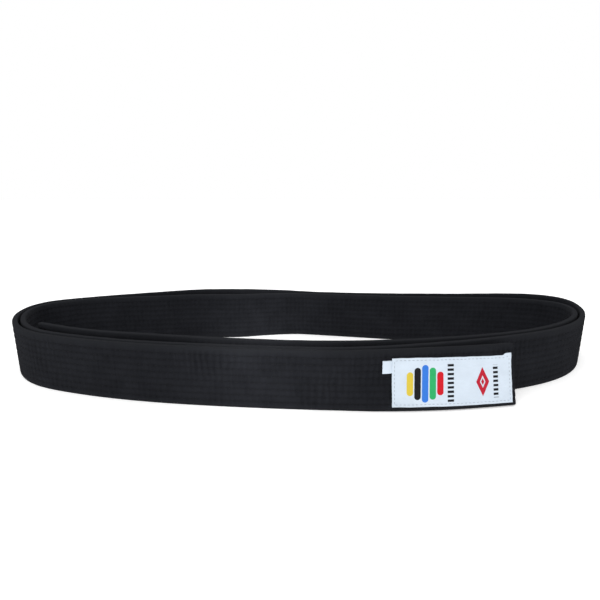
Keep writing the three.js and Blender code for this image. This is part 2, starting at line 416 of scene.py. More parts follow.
@dataclass
class Finish:
    """One material in the making: its graph, its shader and the signals that most finishes read."""

    name: str
    graph: Graph = field(init=False)
    material: bpy.types.Material = field(init=False)
    shader: bpy.types.Node = field(init=False)

    def __post_init__(self) -> None:
        """Makes the empty material and its shader."""
        self.material = bpy.data.materials.new(self.name)
        self.material.use_nodes = True
        self.graph = Graph(self.material.node_tree)
        self.shader = self.material.node_tree.nodes["Principled BSDF"]

    def cloth_metres(self) -> tuple[Signal, Signal]:
        """Lengths along and across the cloth, in metres, from its own UV map."""
        along, across, _ = self.graph.add("ShaderNodeUVMap", {"uv_map": "cloth"}).parts()
        return along, across

    def place(self) -> Signal:
        """The place on the object."""
        return self.graph.add("ShaderNodeTexCoord", {}, {}, "Object")

    def noise(self, place: Signal, per_metre: float, detail: float = 2) -> Signal:
        """Smooth noise from 0 to 1, with so many lumps to the metre."""
        inputs = {"Vector": place, "Scale": per_metre, "Detail": detail}
        return self.graph.add("ShaderNodeTexNoise", {}, inputs, "Fac")

    def mark(self, name: str) -> Signal:
        """A number that the mesh carries at each point."""
        return self.graph.add("ShaderNodeAttribute", {"attribute_name": name}, {}, "Fac")

    def bump(self, height: Signal, depth: float, strength: float) -> Signal:
        """A surface direction from a height, whose whole range is depth metres."""
        inputs = {"Height": height, "Distance": depth, "Strength": strength}
        return self.graph.add("ShaderNodeBump", {}, inputs)

    def set(self, values: Mapping[str, Any]) -> bpy.types.Material:
        """Sets or links the shader's sockets.

        Args:
            values: Socket names, each with a number, a colour or a signal.

        Returns:
            The finished material.
        """
        for name, value in values.items():
            socket = self.shader.inputs[name]
            if isinstance(value, Signal):
                self.graph.tree.links.new(value.socket, socket)
            elif isinstance(value, tuple):
                socket.default_value = (*value, 1)
            else:
                socket.default_value = value
        return self.material


def plain_weave(along: Signal, across: Signal, pitch: float) -> Signal:
    """The height of a plain weave, each thread passing over one and under the next.

    Args:
        along: Metres along the cloth.
        across: Metres across it.
        pitch: The distance between neighbouring threads.

    Returns:
        The height, from 0 to 1.
    """
    warp = along / pitch
    weft = across / pitch
    over = (warp.floor() + weft.floor()) % 2
    round_warp = (warp.fraction() * math.pi).sine()
    round_weft = (weft.fraction() * math.pi).sine()
    lengthwise = round_weft * (0.55 + 0.45 * round_warp)
    crosswise = round_warp * (0.55 + 0.45 * round_weft)
    return over * lengthwise + (1 - over) * crosswise


# ---------------------------------------------------------------------------------------- finishes


@dataclass(frozen=True)
class BlackCotton:
    """The cover cloth: tight black cotton, with painted shade in stripes across its rows where it puckers,
    painted shade in its stitch rows and a painted highlight along its folded edges.
    """

    colour: COLOUR = (0.0150, 0.0158, 0.0190)
    # Painted highlight: the lighter colour along the folded top and bottom edges.
    folded: COLOUR = (0.0150, 0.0158, 0.0182)
    lint: COLOUR = (0.45, 0.45, 0.47)
    thread_pitch: float = 0.42 * MM
    clouds_per_metre: float = 70
    # How many patches to the metre where the painted pucker shade is stronger.
    shade_patches_per_metre: float = 22
    flecks_per_metre: float = 85
    fleck_radius: float = 0.035
    fleck_rarity: float = 0.92
    # Painted light and shade of the puckers, in stripes at the stitch pitch: its least strength, and the
    # extra strength in patches.
    least_pucker_shade: float = 0.03
    patch_pucker_shade: float = 0.11
    # Painted shade in the grooves of the stitch rows.
    groove_shade: float = 0.10
    weave_depth: float = 0.09 * MM

    def material(self) -> bpy.types.Material:
        """Builds the material."""
        finish = Finish("black_cotton")
        along, across = finish.cloth_metres()
        place = finish.place()
        weave = plain_weave(along, across, self.thread_pitch)
        cloudy = finish.noise(place, self.clouds_per_metre, 3)
        slub = finish.noise(finish.graph.joined(along * 900, across * 120, 0), 1, 2)
        row = finish.mark("row_pull")
        fold = finish.mark("fold_highlight")
        shade = 0.62 + 0.34 * weave + 0.55 * (cloudy - 0.5) + 0.45 * (slub - 0.5)
        # Painted shade of the puckers: light and dark stripes at the stitch pitch, stronger in noisy
        # patches and weaker on the inner face.
        pucker_shade = (along * (2 * math.pi / STITCH_PITCH) + (cloudy - 0.5) * 10).sine()
        shade_patch = finish.noise(place, self.shade_patches_per_metre, 1).eased(0.45, 0.7)
        shade_patch = shade_patch * (1 - 0.7 * (across > WIDTH))
        shade = shade * (1 + (self.least_pucker_shade + self.patch_pucker_shade * shade_patch) * pucker_shade)
        # Painted shade in the stitch-row grooves, where each row pulls the cloth in.
        depth = shade * (1 - self.groove_shade * row)
        black = finish.graph.mix(depth.most(0).least(1), (0, 0, 0), self.colour)
        # Painted highlight: lighter along the folded top and bottom edges, more so where the clouds are
        # light.
        fold_lit = finish.graph.mix((fold * (0.6 + 0.6 * cloudy)).least(1), black, self.folded)
        spots = {"Vector": place, "Scale": self.flecks_per_metre}
        flecks = finish.graph.add("ShaderNodeTexVoronoi", {}, spots, "Distance")
        chance = finish.graph.add("ShaderNodeSeparateColor", {}, {0: flecks.other("Color")})
        fleck = (flecks < self.fleck_radius) * (chance > self.fleck_rarity)
        surface = finish.graph.mix(fleck, fold_lit, self.lint)
        height = weave * (1 - 0.4 * row) + 0.8 * (slub - 0.5)
        return finish.set({
            "Base Color": surface,
            "Roughness": 0.80 + 0.10 * weave,
            "Specular IOR Level": 0.0,
            "Sheen Weight": 0.015,
            "Sheen Roughness": 0.45,
            "Normal": finish.bump(height, self.weave_depth, 0.75),
        })


@dataclass(frozen=True)
class CoreCanvas:
    """The plies inside the belt: coarse dark canvas."""

    colour: COLOUR = (0.035, 0.035, 0.037)
    shadow: COLOUR = (0.005, 0.005, 0.006)
    thread_pitch: float = 0.8 * MM

    def material(self) -> bpy.types.Material:
        """Builds the material."""
        finish = Finish("core_canvas")
        along, across = finish.cloth_metres()
        weave = plain_weave(along, across, self.thread_pitch)
        shade = 0.6 + 0.4 * weave + 0.4 * (finish.noise(finish.place(), 90) - 0.5)
        return finish.set({
            "Base Color": finish.graph.mix(shade.most(0).least(1), self.shadow, self.colour),
            "Roughness": 0.95,
            "Specular IOR Level": 0.15,
            "Normal": finish.bump(weave, 0.15 * MM, 0.8),
        })


@dataclass(frozen=True)
class SpunThread:
    """Twisted sewing thread, with fine slanting strands and a soft shine."""

    name: str
    colour: COLOUR
    shadow: COLOUR
    shine: float
    twist_pitch: float = 0.32 * MM

    def material(self) -> bpy.types.Material:
        """Builds the material."""
        finish = Finish(self.name)
        x, y, z = finish.place().parts()
        strands = 0.5 + 0.5 * ((x + y + 1.4 * z) * (2 * math.pi / self.twist_pitch)).sine()
        cloudy = finish.noise(finish.place(), 160)
        shade = (0.35 + 0.45 * strands + 0.5 * (cloudy - 0.3)).most(0).least(1)
        return finish.set({
            "Base Color": finish.graph.mix(shade, self.shadow, self.colour),
            "Roughness": 0.62 + 0.2 * (1 - strands),
            "Specular IOR Level": self.shine,
            "Normal": finish.bump(strands, 0.05 * MM, 0.6),
        })


@dataclass(frozen=True)
class WovenLabel:
    """White satin label cloth with a plain woven ornament of rank-coloured bars and a lozenge."""

    white: COLOUR = (0.585, 0.660, 0.745)
    ink: COLOUR = (0.007, 0.007, 0.010)
    red: COLOUR = (0.45, 0.012, 0.03)
    bars: tuple[COLOUR, ...] = (
        (0.64, 0.49, 0.055),
        (0.006, 0.006, 0.008),
        (0.035, 0.175, 0.62),
        (0.025, 0.37, 0.12),
        (0.56, 0.008, 0.018),
    )
    bar_heights: tuple[float, ...] = (15.5 * MM, 21 * MM, 24.6 * MM, 21 * MM, 15.5 * MM)
    bar_start: float = 9.3 * MM
    bar_pitch: float = 4.95 * MM
    bar_width: float = 4.2 * MM
    middle: float = 15.2 * MM
    ladders: tuple[tuple[float, float, float], ...] = (
        (38.1 * MM, 4.2 * MM, 25 * MM), (68.9 * MM, 3.4 * MM, 22 * MM),
    )
    rung_pitch: float = 2.9 * MM
    rung_share: float = 0.56
    lozenge: tuple[float, float, float] = (59.8 * MM, 4.5 * MM, 9.8 * MM)

    def _bar(self, along: Signal, up: Signal, centre: float, width: float, height: float) -> Signal:
        """1 inside an upright bar with rounded ends, else 0."""
        beyond = (abs(up - self.middle) - (height - width) / 2).most(0)
        across = along - centre
        return (across * across + beyond * beyond) < (width / 2) ** 2

    def _ladder(self, along: Signal, up: Signal, centre: float, width: float, height: float) -> Signal:
        """1 on the rungs of an upright ladder of dashes, else 0."""
        inside = (abs(along - centre) < width / 2) * (abs(up - self.middle) < height / 2)
        return inside * ((up / self.rung_pitch).fraction() < self.rung_share)

    def material(self) -> bpy.types.Material:
        """Builds the material."""
        finish = Finish("label_satin")
        graph = finish.graph
        along, up = finish.cloth_metres()
        threads = 0.5 + 0.5 * (up * (2 * math.pi / (0.3 * MM))).sine()
        floats = 0.5 + 0.5 * ((along + up * 0.5) * (2 * math.pi / (0.9 * MM))).sine()
        cloudy = finish.noise(finish.place(), 110)
        shade = (0.82 + 0.12 * threads + 0.06 * floats + 0.16 * (cloudy - 0.5)).most(0).least(1)
        colour: Any = self.white
        for i, (bar, height) in enumerate(zip(self.bars, self.bar_heights)):
            centre = self.bar_start + self.bar_pitch * i + self.bar_width / 2
            colour = graph.mix(self._bar(along, up, centre, self.bar_width, height), colour, bar)
        for ladder in self.ladders:
            colour = graph.mix(self._ladder(along, up, *ladder), colour, self.ink)
        centre, half_width, half_height = self.lozenge
        out = abs(along - centre) / half_width + abs(up - self.middle) / half_height
        ring = (out < 1) * (1 - (out < 0.42) * (out > 0.24))
        colour = graph.mix(ring, colour, self.red)
        shaded = graph.mix(shade, (0, 0, 0), colour)
        return finish.set({
            "Base Color": shaded,
            "Roughness": 0.5 + 0.15 * (1 - threads),
            "Specular IOR Level": 0.12,
            "Sheen Weight": 0.03,
            "Normal": finish.bump(threads * 0.7 + floats * 0.3, 0.05 * MM, 0.5),
        })


@dataclass(frozen=True)
class TagTape:
    """The blank white tape of the size tag, ribbed across."""

    colour: COLOUR = (0.60, 0.68, 0.77)

    def material(self) -> bpy.types.Material:
        """Builds the material."""
        finish = Finish("tag_tape")
        along, up = finish.cloth_metres()
        ribs = 0.5 + 0.5 * (up * (2 * math.pi / (0.35 * MM))).sine()
        weft = 0.5 + 0.5 * (along * (2 * math.pi / (0.5 * MM))).sine()
        shade = (0.8 + 0.12 * ribs + 0.08 * weft + 0.1 * (finish.noise(finish.place(), 200) - 0.5)).least(1)
        return finish.set({
            "Base Color": finish.graph.mix(shade, (0, 0, 0), self.colour),
            "Roughness": 0.6 + 0.1 * ribs,
            "Specular IOR Level": 0.3,
            "Normal": finish.bump(ribs * 0.7 + weft * 0.3, 0.05 * MM, 0.5),
        })


@dataclass(frozen=True)
class PaleFloor:
    """A matt white studio sweep that glows a little, as a lit table does."""

    colour: COLOUR = (0.9, 0.9, 0.9)
    glow: float = 0.30

    def material(self) -> bpy.types.Material:
        """Builds the material."""
        finish = Finish("pale_floor")
        grain = finish.noise(finish.place(), 30)
        return finish.set({
            "Base Color": finish.graph.mix(grain, (0.88, 0.88, 0.88), self.colour),
            "Roughness": 0.9,
            "Specular IOR Level": 0.1,
            "Emission Color": (1.0, 1.0, 1.0),
            "Emission Strength": self.glow,
        })


# ------------------------------------------------------------------------------------- mesh making


@dataclass
class Shell:
    """A closed mesh in the making, kept as arrays until it is turned into an object."""

    points: list[np.ndarray] = field(default_factory=list)
    faces: list[tuple[int, ...]] = field(default_factory=list)
    uvs: list[tuple[float, float]] = field(default_factory=list)
    marks: dict[str, list[np.ndarray]] = field(default_factory=dict)
    rims: list[range] = field(default_factory=list)
    flat: set[int] = field(default_factory=set)
    count: int = 0

    def put(self, points: np.ndarray, marks: Mapping[str, np.ndarray] | None = None) -> int:
        """Adds points and the numbers that they carry.

        Args:
            points: Rows of x, y and z.
            marks: Named numbers, one for each point.

        Returns:
            The index of the first added point.
        """
        first = self.count
        self.points.append(points.reshape(-1, 3))
        for name, values in (marks or {}).items():
            self.marks.setdefault(name, []).append(values.reshape(-1))
        self.count += len(self.points[-1])
        return first

    def loft(self, first: int, rings: int, ring: int, u: np.ndarray, v: np.ndarray) -> None:
        """Joins rings of points into a skin of quads.

        Args:
            first: The index of the first ring's first point.
            rings: How many rings there are.
            ring: How many points are in each.
            u: The length along the cloth at each ring.
            v: The distance round the ring at each point, and once more where it closes.
        """
        for i in range(rings - 1):
            a = first + i * ring
            b = a + ring
            for j in range(ring):
                k = (j + 1) % ring
                self.faces.append((a + j, a + k, b + k, b + j))
                self.uvs += [(u[i], v[j]), (u[i], v[j + 1]), (u[i + 1], v[j + 1]), (u[i + 1], v[j])]

    def cap(self, first: int, ring: int, backwards: bool, uvs: Sequence[tuple[float, float]]) -> None:
        """Closes a ring with one flat face."""
        order = list(range(ring))
        if backwards:
            order.reverse()
        self.flat.add(len(self.faces))
        self.faces.append(tuple(first + j for j in order))
        self.uvs += [uvs[j] for j in order]
        self.rims.append(range(first, first + ring))

    def wall(self, outer: int, inner: int, ring: int, backwards: bool, u: float, v: np.ndarray) -> None:
        """Joins an outer ring to an inner one, where a tube of cloth is cut across."""
        for j in range(ring):
            k = (j + 1) % ring
            quad = (outer + j, outer + k, inner + k, inner + j)
            place = [(u, v[j]), (u, v[j + 1]), (u, v[j + 1]), (u, v[j])]
            if backwards:
                quad = quad[::-1]
                place = place[::-1]
            self.flat.add(len(self.faces))
            self.faces.append(quad)
            self.uvs += place
        self.rims += [range(outer, outer + ring), range(inner, inner + ring)]

    def object(self, name: str, material: bpy.types.Material) -> bpy.types.Object:
        """Turns the shell into an object whose faces point outwards.

        Args:
            name: The piece's name.
            material: Its finish.

        Returns:
            The object, linked to the scene.
        """
        points = np.vstack(self.points)
        mesh = bpy.data.meshes.new(name)
        mesh.from_pydata(points.tolist(), [], self.faces)
        layer = mesh.uv_layers.new(name="cloth")
        layer.data.foreach_set("uv", np.array(self.uvs, np.float32).ravel())
        for mark, values in self.marks.items():
            attribute = mesh.attributes.new(mark, "FLOAT", "POINT")
            attribute.data.foreach_set("value", np.concatenate(values).astype(np.float32))
        smooth = np.ones(len(self.faces), bool)
        smooth[list(self.flat)] = False
        mesh.polygons.foreach_set("use_smooth", smooth)
        self._sharpen(mesh)
        mesh.validate()
        if signed_volume(mesh) < 0:
            mesh.flip_normals()
        mesh.materials.append(material)
        obj = bpy.data.objects.new(name, mesh)
        bpy.context.scene.collection.objects.link(obj)
        return obj

    def _sharpen(self, mesh: bpy.types.Mesh) -> None:
        """Marks the edges of each rim as sharp, so that a cut end doesn't shade the skin."""
        rim = np.full(len(mesh.vertices), -1)
        for number, members in enumerate(self.rims):
            rim[members.start:members.stop] = number
        ends = np.zeros(len(mesh.edges) * 2, np.int32)
        mesh.edges.foreach_get("vertices", ends)
        ends = ends.reshape(-1, 2)
        sharp = (rim[ends[:, 0]] >= 0) & (rim[ends[:, 0]] == rim[ends[:, 1]])
        attribute = mesh.attributes.new("sharp_edge", "BOOLEAN", "EDGE")
        attribute.data.foreach_set("value", sharp)


def signed_volume(mesh: bpy.types.Mesh) -> float:
    """The volume that a closed mesh holds, negative where its faces point inwards."""
    mesh.calc_loop_triangles()
    corners = np.zeros(len(mesh.loop_triangles) * 3, np.int32)
    mesh.loop_triangles.foreach_get("vertices", corners)
    points = np.zeros(len(mesh.vertices) * 3, np.float32)
    mesh.vertices.foreach_get("co", points)
    a, b, c = points.reshape(-1, 3)[corners.reshape(-1, 3)].transpose(1, 0, 2).astype(float)
    return float(np.einsum("ij,ij->i", a, np.cross(b, c)).sum() / 6)


def triangle_count(obj: bpy.types.Object) -> int:
    """How many triangles a mesh object has."""
    obj.data.calc_loop_triangles()
    return len(obj.data.loop_triangles)


# ---------------------------------------------------------------------------------- riding and bends


@dataclass(frozen=True)
class Bend:
    """Where cloth turns from following one body to following the next, by lengths on the belt."""

    parent: str
    child: str
    start: float
    end: float

    def apply(self, obj: bpy.types.Object, line: BeltLine) -> None:
        """Bakes a piece's placement into its mesh, without bending it across the joint."""
        start = line.place(self.start, WIDTH / 2, 0.0)
        end = line.place(self.end, WIDTH / 2, 0.0)
        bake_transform(obj)


@dataclass(frozen=True)
class Part:
    """One stretch of the belt between two lengths, with its body and the bend at its joint, if any."""

    body: str
    start: float
    end: float
    bend: Bend | None = None

    def settle(self, obj: bpy.types.Object, line: BeltLine, slot: str, nodes: Sequence[str]) -> None:
        """Parents a finished piece to its body's empty, or bakes its placement where it has a bend, then
        hides the solids it stands for.

        Args:
            obj: The piece.
            line: The belt's centre line.
            slot: The record's material slot; not used.
            nodes: The solids that the piece stands for.
        """
        if self.bend:
            self.bend.apply(obj, line)
        else:
            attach(obj, self.body)
        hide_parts(*nodes)
        log.info("%s: %d triangles", obj.name, triangle_count(obj))


@dataclass(frozen=True)
class BeltParts:
    """How the belt divides at its three hinges."""

    line: BeltLine
    outer_hinge: float = 120 * MM
    outer_bent: float = 91 * MM
    lap_hinge: float = 348 * MM
    lap_bent: float = 276 * MM
    inner_hinge: float = 2276 * MM
    inner_bent: float = 2327 * MM

    @property
    def outer_end(self) -> Part:
        """The labelled end, from its tip to its hinge."""
        bend = Bend("outer_lap", "outer_end", self.outer_hinge, self.outer_bent)
        return Part("outer_end", 0, self.outer_hinge, bend)

    @property
    def outer_lap(self) -> Part:
        """The outer front lap, to its hinge at the left bend."""
        bend = Bend("winding", "outer_lap", self.lap_hinge, self.lap_bent)
        return Part("outer_lap", self.outer_hinge, self.lap_hinge, bend)

    @property
    def winding(self) -> Part:
        """The rest of the laps, which hold together."""
        return Part("winding", self.lap_hinge, self.inner_hinge)

    @property
    def inner_end(self) -> Part:
        """The plain end inside the loop."""
        bend = Bend("winding", "inner_end", self.inner_hinge, self.inner_bent)
        return Part("inner_end", self.inner_hinge, self.line.length, bend)

    @property
    def all(self) -> tuple[Part, ...]:
        """The four stretches, from the labelled end."""
        return self.outer_end, self.outer_lap, self.winding, self.inner_end


# --------------------------------------------------------------------------------------- the cover


def ripple(along: np.ndarray, across: np.ndarray, seed: int) -> np.ndarray:
    """Smooth unevenness from -1 to 1, as hand-fed cloth has.

    Args:
        along: Lengths along the belt.
        across: Distances across it.
        seed: Which unevenness to make.

    Returns:
        The unevenness, in the inputs' common shape.
    """
    chance = np.random.default_rng(seed)
    total = 0.0
    for wavelength in (0.083, 0.047, 0.029, 0.019, 0.011):
        turn, lean, phase = chance.uniform(0.8, 1.2), chance.uniform(-1, 1), chance.uniform(0, 6.3)
        wave = 2 * math.pi / wavelength
        total = total + np.sin(wave * turn * along + 0.6 * wave * lean * across + phase)
    return total / 5


@dataclass(frozen=True)
class CoverSection:
    """The cover's section: two padded faces pinched in at each stitch row, with rounded folds."""

    groove: float = 1.60 * MM
    pad: float = 1.96 * MM
    seam_height: float = 2.4 * MM
    fold: tuple[tuple[float, float], ...] = (
        (0.00, 1.05), (0.05, 1.42), (0.22, 1.67), (0.60, 1.84), (1.35, 1.93), (2.40, 1.96), (3.50, 1.86),
    )
    pinch: tuple[tuple[float, float, float], ...] = (
        (0.00, 0.00, 1.00), (0.42, 0.34, 0.62), (1.10, 0.78, 0.30), (2.214, 1.00, 0.12),
    )

    def _face(self) -> list[tuple[float, float, float, float]]:
        """One face, from the lower edge up: height, distance out, row pull and fold share, which also
        weights the painted highlight along the folded edges.
        """
        low = [(h * MM, o * MM, 0.0, max(0.0, 1 - h / 3.4)) for h, o in self.fold]
        rows = []
        for row in range(ROW_COUNT):
            middle = ROW_MARGIN + row * ROW_PITCH
            after = [(middle + d * MM, self._rise(r), p, 0.0) for d, r, p in self.pinch]
            before = [(middle - d * MM, self._rise(r), p, 0.0) for d, r, p in self.pinch[2:0:-1]]
            rows += (before if row else before[1:]) + (after if row < ROW_COUNT - 1 else after[:2])
        high = [(WIDTH - h, o, p, w) for h, o, p, w in reversed(low)]
        return low + rows + high

    def _rise(self, share: float) -> float:
        """The distance out at a share of the way from groove to pad."""
        return self.groove + (self.pad - self.groove) * share

    def loop(self) -> tuple[np.ndarray, ...]:
        """The whole outline, as arrays of height, distance out, row pull and fold share."""
        outer = self._face()
        inner = [(h, -o, p, w) for h, o, p, w in reversed(outer)]
        return tuple(np.array(values) for values in zip(*(outer + inner)))


@dataclass
class CoverCloth:
    """The cover: one cloth folded round the plies into a tube, its seam low on the inner face."""

    line: BeltLine
    material: bpy.types.Material
    section: CoverSection = field(default_factory=CoverSection)
    ring_step: float = 1.0 * MM
    pucker: float = 0.28 * MM
    ridge: float = 0.12 * MM
    unevenness: float = 0.06 * MM
    crest: float = 0.45 * MM
    end_round: float = 0.8 * MM
    corner_round: float = 0.9 * MM
    lining_step: float = 8 * MM
    lining_out: float = 1.12 * MM
    seam_width: float = 0.28 * MM
    seam_depth: float = 0.42 * MM
    cut_width: float = 84 * MM
    turn_cuts: tuple[float, float] = (992 * MM, 1632 * MM)

    def _along(self, start: float, end: float, rims: tuple[Rim, Rim]) -> np.ndarray:
        """The lengths of the rings, closer together where a free end rounds off."""
        count = int(round((end - start) / self.ring_step))
        along = start + np.arange(count + 1) * (end - start) / count
        near = np.array([0.0, 0.12, 0.4, 0.8, 1.3]) * MM
        if rims[0] is Rim.FOLDED:
            along = np.r_[start + near, along[along > start + 1.8 * MM]]
        if rims[1] is Rim.FOLDED:
            along = np.r_[along[along < end - 1.8 * MM], end - near[::-1]]
        return along

    def _rounding(self, along: np.ndarray, rims: tuple[Rim, Rim]) -> tuple[np.ndarray, np.ndarray]:
        """How much thinner and lower each ring is near a free end, as two factors."""
        left = np.full_like(along, 1.0)
        if rims[0] is Rim.FOLDED:
            left = np.minimum(left, along - along[0])
        if rims[1] is Rim.FOLDED:
            left = np.minimum(left, along[-1] - along)
        thin = np.clip(1 - left / self.end_round, 0, 1)
        low = np.clip(1 - left / self.corner_round, 0, 1)
        thickness = 0.3 + 0.7 * np.sqrt(1 - thin ** 2)
        inset = self.corner_round * (1 - np.sqrt(1 - low ** 2))
        return thickness, 1 - 2 * inset / WIDTH

    def _skin(self, along: np.ndarray, rims: tuple[Rim, Rim]) -> tuple[np.ndarray, dict[str, np.ndarray]]:
        """The outside of the tube: its points, ring by ring, and what they carry."""
        height, out, pull, fold_share = (values[None, :] for values in self.section.loop())
        length = along[:, None]
        side = np.sign(out)
        hole = ((1 + np.cos(2 * math.pi * length / STITCH_PITCH)) / 2) ** 1.5
        depth = np.abs(out) - self.pucker * pull * hole
        depth = depth + self.ridge * (0.5 - hole) * (pull < 0.5) * (fold_share == 0)
        depth = depth + self.unevenness * ripple(length, height * side, 5) * (0.3 + 0.7 * (pull < 0.9))
        seam = np.exp(-((height - self.section.seam_height) / self.seam_width) ** 2) * (side < 0)
        depth = depth - self.seam_depth * seam
        thin, low = self._rounding(along, rims)
        uneven = self.crest + 0.1 * MM * ripple(length, side * 0.001, 9)
        lift = uneven * (height > WIDTH / 2) * fold_share ** 2
        raised = WIDTH / 2 + (height + lift - WIDTH / 2) * low[:, None]
        points = self.line.place(length, raised, side * depth * thin[:, None])
        shape = points.shape[:2]
        # The fold share also weights the painted highlight along the folded edges in the cloth's material.
        return points, {"row_pull": np.broadcast_to(pull, shape), "fold_highlight": np.broadcast_to(fold_share, shape)}

    def _lining(self, along: np.ndarray) -> np.ndarray:
        """The inside of the tube, one cloth's thickness in."""
        height, out, _, _ = self.section.loop()
        inner_height = np.clip(height, CLOTH_THICKNESS, WIDTH - CLOTH_THICKNESS)
        corner = np.minimum(height, WIDTH - height) / (1.8 * MM)
        inner_out = self.lining_out * np.sign(out) * np.clip(0.35 + corner, 0, 1)
        return self.line.place(along[:, None], inner_height[None, :], inner_out[None, :])

    def tube(self, name: str, start: float, end: float, rims: tuple[Rim, Rim]) -> bpy.types.Object:
        """Builds one stretch of the cover.

        Args:
            name: The piece's name.
            start: Where it starts on the belt.
            end: Where it ends.
            rims: How it stops at its start and its end.

        Returns:
            The object.
        """
        shell = Shell()
        along = self._along(start, end, rims)
        skin, marks = self._skin(along, rims)
        ring = skin.shape[1]
        middle = skin[len(skin) // 2]
        around = np.linalg.norm(np.diff(np.vstack([middle, middle[:1]]), axis=0), axis=1)
        v = np.r_[0, np.cumsum(around)]
        outer = shell.put(skin, marks)
        shell.loft(outer, len(along), ring, along, v)
        inside_start = start + (CLOTH_THICKNESS if rims[0] is Rim.FOLDED else 0)
        inside_end = end - (CLOTH_THICKNESS if rims[1] is Rim.FOLDED else 0)
        count = max(2, int((inside_end - inside_start) / self.lining_step))
        inside = np.linspace(inside_start, inside_end, count + 1)
        lining = self._lining(inside)
        blank = {mark: np.zeros(lining.shape[:2]) for mark in marks}
        inner = shell.put(lining, blank)
        faces = len(shell.faces)
        shell.loft(inner, len(inside), ring, inside, v)
        shell.faces[faces:] = [face[::-1] for face in shell.faces[faces:]]
        corners = 4 * faces
        turned = np.array(shell.uvs[corners:]).reshape(-1, 4, 2)[:, ::-1].reshape(-1, 2)
        shell.uvs[corners:] = [tuple(uv) for uv in turned]
        last_outer = outer + (len(along) - 1) * ring
        last_inner = inner + (len(inside) - 1) * ring
        ends = ((rims[0], outer, inner, True), (rims[1], last_outer, last_inner, False))
        for rim, near, lined, backwards in ends:
            u = start if backwards else end
            if rim is Rim.BUTTED:
                shell.wall(near, lined, ring, not backwards, u, v)
                continue
            shell.cap(near, ring, backwards, [(u, place) for place in v[:-1]])
            shell.cap(lined, ring, not backwards, [(u, place) for place in v[:-1]])
        return shell.object(name, self.material)

    def build(self, parts: BeltParts) -> None:
        """Builds every stretch of the cover."""
        cuts = [parts.winding.start, *self.turn_cuts, parts.winding.end]
        turns = [Part("winding", a, b) for a, b in zip(cuts, cuts[1:])]
        free_start = (Rim.FOLDED, Rim.BUTTED)
        free_end = (Rim.BUTTED, Rim.FOLDED)
        butted = (Rim.BUTTED, Rim.BUTTED)
        wanted = [
            ("cotton_cover_outer_end", parts.outer_end, free_start),
            ("cotton_cover_outer_lap", parts.outer_lap, butted),
            ("cotton_cover_first_turn", turns[0], butted),
            ("cotton_cover_second_turn", turns[1], butted),
            ("cotton_cover_third_turn", turns[2], butted),
            ("cotton_cover_inner_end", parts.inner_end, free_end),
        ]
        for name, part, rims in wanted:
            obj = self.tube(name, part.start, part.end, rims)
            part.settle(obj, self.line, "cover_cloth", [f"cover_{part.body}"])
            part.end - part.start


@dataclass
class CorePlies:
    """The two canvas plies that fill the cover."""

    line: BeltLine
    material: bpy.types.Material
    count: int = 2
    thickness: float = 0.92 * MM
    spacing: float = 1.06 * MM
    edge: float = 1.1 * MM
    step: float = 4 * MM

    def strip(self, name: str, part: Part, ply: int) -> bpy.types.Object:
        """Builds one ply of one stretch.

        Args:
            name: The piece's name.
            part: The stretch.
            ply: Which ply, counted from the inner face.

        Returns:
            The object.
        """
        start = part.start + (self.edge if part.start == 0 else 0)
        end = part.end - (self.edge if part.end == self.line.length else 0)
        along = np.linspace(start, end, max(3, int((end - start) / self.step)) + 1)
        middle = (ply - (self.count - 1) / 2) * self.spacing
        half, soft = self.thickness / 2, 0.2 * MM
        low, high = self.edge, WIDTH - self.edge
        height = np.array([low, low, low + soft, high - soft, high, high, high - soft, low + soft])
        flat = half - soft
        out = middle + np.array([-flat, flat, half, half, flat, -flat, -half, -half])
        points = self.line.place(along[:, None], height[None, :], out[None, :])
        ring = points[0]
        v = np.r_[0, np.cumsum(np.linalg.norm(np.diff(np.vstack([ring, ring[:1]]), axis=0), axis=1))]
        shell = Shell()
        first = shell.put(points)
        shell.loft(first, len(along), len(height), along, v)
        last = first + (len(along) - 1) * len(height)
        shell.cap(first, len(height), True, [(start, place) for place in v[:-1]])
        shell.cap(last, len(height), False, [(end, place) for place in v[:-1]])
        return shell.object(name, self.material)

    def build(self, parts: BeltParts) -> None:
        """Builds both plies of every stretch."""
        for part in parts.all:
            for ply in range(self.count):
                node = f"core_ply_{ply + 1}_{part.body}"
                obj = self.strip(f"canvas_ply_{ply + 1}_{part.body}", part, ply)
                part.settle(obj, self.line, "core_cloth", [node])
                WIDTH - 2 * self.edge
                part.end - part.start


# ------------------------------------------------------------------------------------- the stitches


